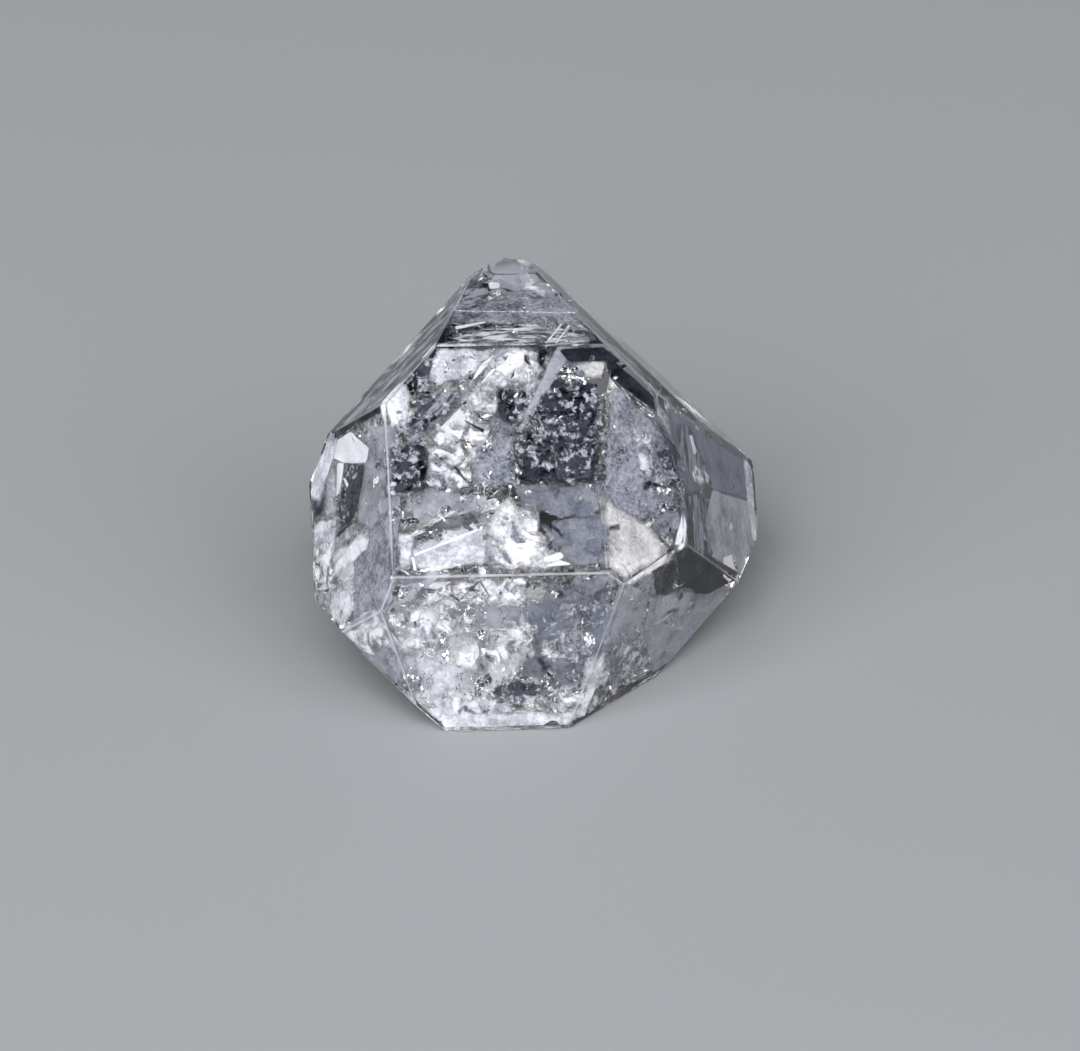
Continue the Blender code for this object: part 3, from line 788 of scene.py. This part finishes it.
CRUMBS = (
    ("front_left_crumbs", (-6.9, -6.7, 1.3), (-82, 0),
     ((-0.5, -1), (0.1, -0.6), (0.6, 0.4), (0.2, 0.8), (-0.5, 0.4))),
    ("lower_top_crumbs", (-3.9, -6.1, -7.5), (-90, -30),
     ((-3.2, -0.9), (2.4, -0.6), (2.4, 0.8), (-1.8, 0.6))),
    ("lower_mid_crumbs", (-4.6, -5.2, -8.6), (-90, -30),
     ((-1.1, -0.9), (1.2, -0.9), (1.1, 0.9), (-1.1, 1))),
    ("lower_streaky", (-0.2, -4.6, -9.7), (-80, -38), ((-0.5, -0.8), (0.7, -0.9), (0.5, 0.7), (-0.9, 0.8))),
    ("lower_bottom_crumbs", (-0.5, -2.5, -12.1), (-90, -30),
     ((-2.2, -1), (1.4, -0.9), (2.8, 1.3), (-2.2, 0.6))),
    ("lower_right_crumbs", (3, -2, -9.9), (-25, -34),
     ((-1, -3.4), (3.7, 1), (0.2, 2.5), (-2.7, 0))),
    ("left_bright", (-10.2, -2.1, -4.3), (-155, 3), ((-0.9, -1), (0.4, -1.4), (0.9, 1), (-0.7, 1.3))),
    ("scar_line", (5.4, -5.4, -1.3), (-60, -1),
     ((-1.4, -0.1), (-0.1, -0.4), (1.5, -0.1), (1.5, 0.2), (-0.1, 0.1), (-1.5, 0.4))),
    ("scar_bright_b", (4.6, -5.6, 0.5), (-60, -1), ((-0.5, -0.5), (0.8, -0.4), (0.6, 0.5), (-0.8, 0.4))),
    ("right_cluster", (7.8, -2.6, -0.3), (-25, 3),
     ((-1.5, -0.9), (0.7, -0.5), (1.8, 0.5), (0.7, 0.7), (-1.5, 0.1))),
)
SWIRL = (
    ("front_swirl", (-4.9, -6.9, -1.3), (-90, 5),
     ((-1.1, -1.1), (0.8, -1.1), (1.2, -0.2), (0.6, 1.3), (-1.2, 1.2))),
    ("front_swirl_mid", (-1.8, -6.6, -5), (-90, 5),
     ((-1.5, -1.6), (0.5, -1.6), (1.4, -0.1), (0.7, 1.7), (-1.4, 1.8))),
    ("lower_swirl", (-2.7, -6.3, -7.5), (-90, -33), ((-1, -0.7), (1.2, -0.7), (1.2, 0.7), (-1.5, 0.8))),
    ("left_swirl", (-10.6, -1.8, -4.4), (-154, 3), ((-1, -1.5), (0.7, -1.5), (1.1, 1), (-1, 2.2))),
    ("lower_swirl_b", (-1.5, -2.5, -12.1), (-90, -33),
     ((-1.9, -0.9), (1.8, -0.9), (1.8, 0.8), (-1.9, 0.9))),
    ("front_bright_swirl", (-4.2, -6.4, 0.7), (-90, 6),
     ((-1.1, -0.9), (1.3, -0.8), (1.5, 0.6), (0.1, 1.5), (-1.7, 0))),
    ("lower_swirl_left", (-6.2, -5.1, -8.8), (-98, -38),
     ((-1.2, -0.8), (0.2, -1.3), (1.4, -0.2), (0.9, 1.2), (-1.1, 1.2))),
    ("lower_swirl_mid", (-2.3, -4.5, -9.5), (-90, -32),
     ((-1.2, -0.3), (-0.4, -1.2), (1.6, -0.6), (1.1, 1.1), (-1.1, 1.1))),
    ("lower_swirl_low", (-4.6, -2.4, -12), (-90, -32),
     ((-0.7, -1), (1.2, -1), (1.1, 0.8), (-1.5, 0.9))),
    ("lower_left_swirl", (-8.8, -4.2, -8.8), (-154, -35),
     ((-0.8, -0.8), (1.1, -0.7), (1.4, 0.6), (-1.7, 0.7))),
)
CRUMBLE = (
    ("front_dark_specks", (0.3, -7.1, 0.4), (-90, 8), ((-2.2, -2.5), (2, -2.5), (2.6, 2.5), (-2.3, 2.7))),
    ("front_sparkle_crumbs", (-5.5, -7.2, 1.8), (-90, 6),
     ((-1.2, -1.9), (1.1, 0.1), (1.6, 0.8), (0.3, 1), (-1.9, -0.2))),
    ("lower_blue_crumble", (0.4, -5, -9.2), (-90, -30),
     ((-1.6, -0.3), (-0.2, -1.4), (1.8, -1.2), (2, 1.5), (-1.9, 1.5))),
    ("lower_fan_crumble", (3.5, -2.2, -9.5), (-25, -34),
     ((0.3, -1.8), (3.4, 0.4), (-0.7, 1.8), (-2.8, -0.3))),
    ("scar_crumble", (5.7, -5.1, -0.4), (-60, -1),
     ((-1, -2.3), (1.1, -2), (1.1, 0.4), (0, 2), (-1.2, 1.8))),
    ("left_crumble", (-9.4, -4.3, -1.6), (-154, 3),
     ((-0.9, -1.6), (0.2, -1.5), (0.6, -0.8), (1.4, 1), (0, 1.5), (-0.7, 1.1), (-1, 0))),
    ("lower_dark_crumble", (-1.8, -3.4, -11.6), (-90, -30),
     ((-1.4, -0.5), (1.5, -0.5), (1.3, 0.6), (-1.5, 0.5))),
    ("front_left_top_crumble", (-6.1, -7.1, 3.5), (-98, 0),
     ((-0.7, -1.3), (0.6, -0.8), (0.8, 0.9), (0.2, 1.2), (-0.9, 0))),
    ("left_dark_specks", (-6.9, -7.1, 0.6), (-98, 0), ((-0.7, -1.1), (0.7, -1.2), (0.7, 1.1), (-0.5, 1.1))),
    ("lower_fan_curls", (1.9, -5, -9.4), (-80, -38),
     ((-1.2, -0.5), (-0.8, -1.7), (0.4, -1.5), (1.1, 1.4), (0.6, 2.3))),
    ("left_dark_curls", (-6.9, -7.3, -1.4), (-98, 0), ((-1.2, -1.5), (1.1, -1.5), (1.2, 1.4), (-1, 1.5))),
    ("front_dark_low_curls", (0.5, -7.2, -1), (-90, 8),
     ((-2.4, -1.5), (2, -1.6), (2.3, 1.5), (-2, 1.5))),
)
MOTTLE = (
    ("front_sparkle", (-2.6, -6.3, 0.5), (-90, 6), ((-1.4, -2.7), (0.9, -2.8), (1.2, 2.9), (-0.5, 2.7))),
    ("front_slant", (-5.4, -6.5, 1.6), (-90, 6),
     ((-1.3, -1.6), (-0.4, -1), (1.3, 0.6), (1.7, 1.4), (0.2, 1.5), (-1.8, -0.9))),
    ("lower_blue", (0.5, -4.7, -9), (-90, -30),
     ((-1.7, -0.4), (-0.2, -1.4), (1.7, -1.2), (2, 1.5), (-2, 1.5))),
    ("lower_dark_fan", (3.4, -1.8, -9.2), (-25, -34), ((0.3, -1.8), (3.3, 0.3), (-0.7, 1.8), (-2.9, -0.4))),
    ("lower_left_mottle", (-7.6, -3.2, -10.4), (-154, -35),
     ((-0.8, -0.6), (0.2, -1.3), (1.4, 0.9), (-0.5, 1.1))),
    ("lower_left_band", (-7, -3.7, -10.7), (-82, -38),
     ((0.1, -1.2), (0.7, -0.9), (0.2, 1.1), (-0.8, 1.1))),
    ("scar_mottle", (4.8, -5.2, -0.7), (-59, -1),
     ((-2.9, -2.4), (0.1, -3.5), (2.2, -1.6), (2.1, 0.9), (0.8, 2.6), (-1.9, 3.9))),
    ("scar_hatch", (5.6, -4.6, -3.5), (-59, -1),
     ((-0.9, -0.9), (0.1, -1.4), (1, -0.4), (1, 1.6), (-1.1, 1.2))),
    ("left_specks", (-8.4, -5.3, -5.9), (-154, 3),
     ((-1.9, 1.1), (-2.1, -2.1), (0.7, -2.3), (1.7, -1.1), (1.9, 2.7), (-0.6, 2.1))),
    ("left_band", (-8, -5.7, 0), (-154, 3), ((-1.2, -0.7), (1.3, -1.4), (1.3, 1.3), (-1.3, 1.1))),
    ("lower_edge_mottle", (5.3, -3.8, -6.1), (-25, -34),
     ((0.3, -1.1), (2.1, 0.3), (0.4, 1.3), (-1.1, 0.4), (-1.7, -1.1))),
    ("tip_cover", (-1, -4.7, 7.4), (-89, 43), ((-3.6, -1.2), (3.7, -1.5), (3.2, 1.3), (-3.1, 1.3))),
)
SLATE = (
    ("right_slate", (8.9, -0.1, 0.9), (-26, 2),
     ((-2.5, -0.4), (-1.1, -1.6), (3.7, -0.6), (3.8, 1.5), (-3.8, 1.1))),
    ("lower_blue_spot", (-6.7, -6.4, -7.5), (-90, -30),
     ((-0.2, -0.3), (0.5, -0.1), (0.3, 0.4), (-0.4, 0.2))),
    ("lower_ridge_dark", (-7, -6.9, -7), (-90, -33),
     ((-0.5, -0.3), (0.5, -0.1), (0.7, 0.3), (-0.8, 0.2))),
    ("front_cube", (1.5, -6.8, -3.7), (-90, 5), ((-0.4, -0.4), (0.5, -0.3), (0.5, 0.5), (-0.5, 0.4))),
    ("front_cube_low", (1.9, -6.8, -5.5), (-90, 5), ((-0.4, -0.4), (0.5, -0.4), (0.5, 0.4), (-0.4, 0.3))),
    ("left_sliver", (-10.7, -1.9, -0.3), (-154, 3), ((-0.3, -1.2), (0.5, -0.7), (0.5, 1), (-0.5, 0.7))),
    ("tip_shade", (-0.9, -2.5, 7), (-89, 43),
     ((-3.1, 0.5), (-4.3, -3.1), (4, -3.2), (3, 0), (0.5, 6.2))),
    ("front_band_shade", (1.7, -6.9, 3.7), (-90, 6), ((-0.4, -0.6), (0.3, -0.5), (0.6, 0.4), (-0.5, 0.4))),
    ("lower_blue_dark", (-0.4, -5.3, -8.7), (-90, -30),
     ((-0.7, -0.9), (0.6, -1.1), (0.9, 0), (0.5, 0.9), (-1.1, 0.9))),
    ("lower_fan_dark", (1.9, -4.9, -9.3), (-80, -38),
     ((-0.9, -0.6), (-0.5, -1.5), (0.3, -1), (0.9, 1.2), (0.4, 1.9))),
    ("right_base", (6.9, -3.2, 0.5), (-25, 3),
     ((-2.4, -0.1), (-1, -2.4), (1.5, -1.5), (2.9, 0), (2.5, 2.1), (-3.1, 1.6))),
)
# Painted darkness: near-black sheets where the clear quartz would show the dark backdrop through it.
PAINTED_DARK_CLOUDS = (
    ("front_dark_a", (-1.5, -6.7, 2.2), (-90, 8),
     ((-1, -1), (-0.2, -1.5), (0.7, -0.1), (1.2, 1.3), (-0.8, 1.2))),
    ("front_dark_b", (1.3, -6.7, 0.7), (-90, 8),
     ((-2, 1.5), (-0.9, -3), (1.1, -3), (1.2, -0.7), (1.9, 2.3), (-1, 2.7))),
    ("front_dark_c", (0.4, -6.8, -0.9), (-90, 8),
     ((-2.2, -1.3), (1.9, -1.4), (2, 0.1), (0.2, 1.2), (-1.8, 1.6))),
    ("front_dark_d", (0, -6.7, 4.5), (-90, 8), ((-0.4, -0.3), (0.1, -0.9), (0.7, 0.5), (-0.3, 0.6))),
    ("front_dark_left_top", (-6.1, -7, 3.6), (-98, 0),
     ((-0.5, -1), (0.4, -0.7), (0.5, 0.6), (0.2, 0.8), (-0.6, 0))),
    ("front_dark_left", (-6.8, -7.1, -1.2), (-98, 0),
     ((-1.2, -1.6), (0.5, -1.5), (0.9, -0.3), (0.8, 1), (-0.1, 1.2), (-1, 1))),
    ("left_dark", (-9.4, -4.2, -1.6), (-157, 4),
     ((-0.9, -1.6), (0.3, -1.5), (0.7, -0.8), (1.5, 1), (0, 1.6), (-0.7, 1.1), (-1, 0.1))),
    ("lower_dark", (-1.8, -3.2, -11.4), (-90, -30),
     ((-0.1, -0.6), (1.3, -0.3), (1.1, 0.4), (-0.9, 0.4), (-1.5, -0.2))),
    ("lower_fan_hatch", (5.4, -4, -6), (-23, -32),
     ((0.1, -1.1), (2.2, 0.2), (-0.3, 1.1), (-1.7, -0.2))),
    ("left_dark_b", (-10.7, -1.5, -1.1), (-157, 4), ((-0.4, -0.7), (0.5, -0.9), (0.4, 0.7), (-0.6, 0.7))),
    ("right_bundle_shade", (7.3, -2.7, -3.1), (-23, 4),
     ((-2.1, -1.7), (1.2, -1.6), (1.8, 0.3), (1, 2.2), (-2, 1.1))),
    ("top_left_shade", (-6.2, -4.3, 4.6), (-145, 37),
     ((0.7, 4.9), (-0.7, 2.3), (-3.1, -3.5), (0.9, -3.4), (2.2, 0))),
    ("scar_dark", (6, -4.9, -0.6), (-57, -1), ((-0.5, -0.6), (0.7, -0.4), (0.5, 0.6), (-0.8, 0.6))),
    ("front_slant_dark", (-5.7, -6.9, 1.5), (-90, 6),
     ((-0.8, -1.4), (0.4, -0.3), (1.7, 1.1), (0.7, 1.2), (-0.5, 0.6), (-1.5, -1))),
)
# Painted darkness: small near-black sheets where the clear quartz would show the dark backdrop through it.
PAINTED_DARK_WISPS = (
    ("front_branch", (-0.7, -6.9, -4.2), (-90, 5), ((0.2, -0.7), (0.4, -0.6), (-0.2, 0.8), (-0.5, 0.7))),
    ("front_branch_b", (-0.3, -7, -5.2), (-90, 5), ((0, -0.6), (0.3, -0.5), (0, 0.5), (-0.2, 0.4))),
    ("front_branch_c", (0.3, -6.9, -4.7), (-90, 5), ((0.1, -0.4), (0.4, -0.3), (-0.1, 0.5), (-0.4, 0.4))),
    ("lower_spot", (0.1, -6.3, -7.7), (-90, -30), ((-0.1, -0.3), (0.4, -0.2), (0.2, 0.3), (-0.3, 0.2))),
    ("lower_spot_b", (0.6, -6.6, -7.3), (-90, -30), ((-0.4, -0.1), (0.3, -0.2), (0.4, 0.1), (-0.4, 0.2))),
    ("lower_drop", (-0.6, -4.1, -10.5), (-90, -30), ((-0.1, -0.6), (0.4, -0.5), (0.2, 0.5), (-0.4, 0.4))),
    ("lower_diagonal", (2.4, -6.4, -7.5), (-80, -38), ((-0.4, -0.6), (0.4, 0.2), (0.6, 0.6), (-0.5, -0.2))),
    ("scar_stripe", (5.5, -5.1, -1.8), (-57, -1), ((-1.1, -0.5), (1.2, -0.1), (1.3, 0.5), (-1.2, 0))),
    ("scar_eye", (2.9, -6.3, -4.4), (-61, -1), ((-0.3, -0.2), (0.4, -0.1), (0.3, 0.2), (-0.3, 0.1))),
    ("scar_eye_b", (3.1, -6.2, -5.6), (-61, -1), ((-0.2, -0.3), (0.2, -0.2), (0.4, 0.2), (-0.3, 0.1))),
    ("tip_line", (-0.9, -6.6, 5.1), (-89, 43), ((-1.2, -0.1), (1.1, -0.2), (1.1, 0.1), (-1.1, 0.2))),
)
CREAM = (
    ("scar_cream", (3.9, -5.6, -5), (-59, -1),
     ((-1.7, -1.6), (-0.7, -2.3), (1, -1.1), (2.5, -0.1), (1.4, 0.8), (-0.4, 1.9), (-1.9, 2.1))),
    ("top_left_cream", (-8.8, -2.2, 3.5), (-145, 37), ((0.1, -1.1), (1, 0.2), (0, 1.1), (-1.2, 0))),
    ("front_band", (2.6, -6.9, 3.6), (-90, 8),
     ((-0.8, -0.3), (-0.2, -0.7), (0.6, -0.4), (1.1, 0.5), (0.5, 0.5), (-1.2, 0.5))),
)
WAVES = (
    ("tip_waves", (-1.3, -6.2, 5.7), (-89, 43), ((-3.5, -0.8), (4.2, -1.1), (1.7, 1.4), (-2.5, 0.5))),
)
FIBRES = (
    ("right_streaks", (7, -4.1, 0.5), (-25, 3),
     ((-1.2, -0.6), (0.3, -1.7), (2, 0), (0.7, 1.5), (-1.8, 0.9))),
    ("right_bundle", (7.4, -3, -3.1), (-23, 4),
     ((-1.7, -1.7), (1, -1.7), (1.7, 0.2), (1, 2.1), (-1.8, 0.9))),
)
SLANT = (
    ("front_slant_streaks", (-5.5, -7.1, 1.5), (-90, 5),
     ((-1.2, -1.6), (1.1, 0.5), (1.7, 1.2), (0.3, 1.3), (-1.7, -1.2))),
    ("front_curve", (-2.7, -7.1, 3.8), (-90, 5),
     ((-1, -1.4), (-0.3, -0.6), (1.2, 1.1), (0.6, 1.1), (-0.5, -0.2))),
    ("tip_patch", (-3, -4.1, 8.3), (-89, 46),
     ((-1, -0.8), (-0.8, -2.3), (0.2, -1.7), (0.9, 0), (0.8, 2.3), (0, 2.5))),
)
SLOPE = (
    ("left_top_streaks", (-6.4, -4.8, 5), (-145, 37),
     ((0.7, 5.4), (-0.7, 2), (-2.8, -3.7), (0.8, -3.5), (2, -0.1))),
)
# Painted darkness: crisp black plates where the clear quartz would show the dark backdrop through it.
PAINTED_DARK_PLATES = (
    ("front_black_top", (2.1, -7.3, 4.4), (-90, 8), ((-0.9, -0.4), (1.5, -0.4), (0.9, 0.4), (-1.4, 0.4))),
    ("front_black_strip", (4.5, -5.8, 2.9), (-85, 0),
     ((-1.2, 0.4), (0.3, -0.7), (1.1, -1.4), (1.1, -0.6), (0.3, 0.3), (-1.4, 2))),
    ("right_square", (7.4, -2.8, -5.5), (-25, -34),
     ((-0.3, -1.2), (2.1, -0.5), (4.4, 1.4), (-2.4, 0.8), (-3.7, -0.2))),
    ("lower_cross", (-4.3, -6.7, -7.5), (-90, -33), ((-0.5, -0.6), (0.6, 0.4), (0.5, 0.5), (-0.6, -0.6))),
    ("lower_cross_b", (-5.1, -6.5, -7.7), (-90, -33), ((-0.4, 0.2), (0.3, -0.3), (0.4, -0.2), (-0.4, 0.3))),
    ("lower_cross_c", (-3.5, -6.7, -7.5), (-90, -33), ((-0.3, 0.4), (0.2, -0.4), (0.3, -0.4), (-0.2, 0.5))),
    ("front_thread", (-3.7, -7.1, 0.8), (-90, 5), ((-0.5, 0.3), (0.5, -0.4), (0.6, -0.2), (-0.4, 0.4))),
    ("front_thread_b", (-3.9, -7.1, 1.3), (-90, 5), ((-0.3, 0.5), (0.3, -0.5), (0.4, -0.4), (-0.3, 0.6))),
    ("front_thread_c", (-3.3, -7.1, 1.3), (-90, 5), ((-0.3, 0.3), (0.2, -0.4), (0.3, -0.3), (-0.2, 0.3))),
    ("front_swirl_dark", (-4.5, -7.1, -1.7), (-90, 5),
     ((0.2, -0.4), (0.4, -0.4), (-0.1, 0.4), (-0.3, 0.4))),
    ("lower_thread", (0.1, -4.9, -9.8), (-90, -33), ((-0.1, -0.4), (0.1, -0.4), (0, 0.3), (-0.1, 0.3))),
    ("left_thread", (-9.8, -3.7, -3.3), (-154, 3), ((-0.6, -0.2), (0.7, 0.1), (0.6, 0.3), (-0.8, 0))),
    ("front_black_right", (3, -6, 4.7), (-85, 0), ((-0.5, -0.5), (1.1, -0.5), (0.1, 0.4), (-0.7, 0.4))),
    ("right_square_mid", (7.1, -2.8, -5.2), (-26, -35),
     ((-0.1, -1.1), (2.1, -0.5), (2.4, 1), (-1.5, 0.8), (-2.8, 0.1))),
)

# Each kind of veil: its finish, its rows and its waves.
VEILS = (
    ("haze", HAZE, PLATE),
    ("dim", DIM, PLATE),
    ("pale", PALE, PLATE),
    ("mist", MIST, VEIL),
    ("milk", MILK, VEIL),
    ("chalk", CHALK, PLATE),
    ("crumbs", CRUMBS, VEIL),
    ("swirl", SWIRL, VEIL),
    ("crumble", CRUMBLE, VEIL),
    ("mottle", MOTTLE, PLATE),
    ("slate", SLATE, PLATE),
    ("painted_dark_clouds", PAINTED_DARK_CLOUDS, VEIL),
    ("painted_dark_wisps", PAINTED_DARK_WISPS, VEIL),
    ("painted_dark_plates", PAINTED_DARK_PLATES, PLATE),
    ("cream", CREAM, PLATE),
    ("waves", WAVES, PLATE),
    ("fibres", FIBRES, PLATE),
    ("slant", SLANT, PLATE),
    ("slope", SLOPE, PLATE),
)

CRACK_SEED, VEIL_SEED, CHIP_SEED = 1, 200, 300
SEEDS_APART = 20  # from one kind of veil to the next

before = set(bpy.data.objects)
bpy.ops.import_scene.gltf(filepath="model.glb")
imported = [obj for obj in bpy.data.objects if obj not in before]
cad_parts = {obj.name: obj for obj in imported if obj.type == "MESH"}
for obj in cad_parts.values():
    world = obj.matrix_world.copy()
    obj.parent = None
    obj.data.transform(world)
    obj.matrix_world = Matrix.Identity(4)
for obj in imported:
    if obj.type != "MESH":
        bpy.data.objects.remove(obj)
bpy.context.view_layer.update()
WALL = crack_wall()
gaps = [crack(*row, seed=number) for number, row in enumerate(CRACKS, CRACK_SEED)]
crystal = join([whole_crystal(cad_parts["herkimer_crystal"]), *gaps], "clear_crystal")
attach(crystal, "root")
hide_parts("herkimer_crystal")
chips("fine_cracks", CHIPS, CHIP_SEED)
finishes = veil_finishes()
for number, (finish, rows, waves) in enumerate(VEILS):
    veils(f"{finish}_veils", finishes[finish], rows, waves, VEIL_SEED + SEEDS_APART * number)
camera()
pale_floor()
studio()
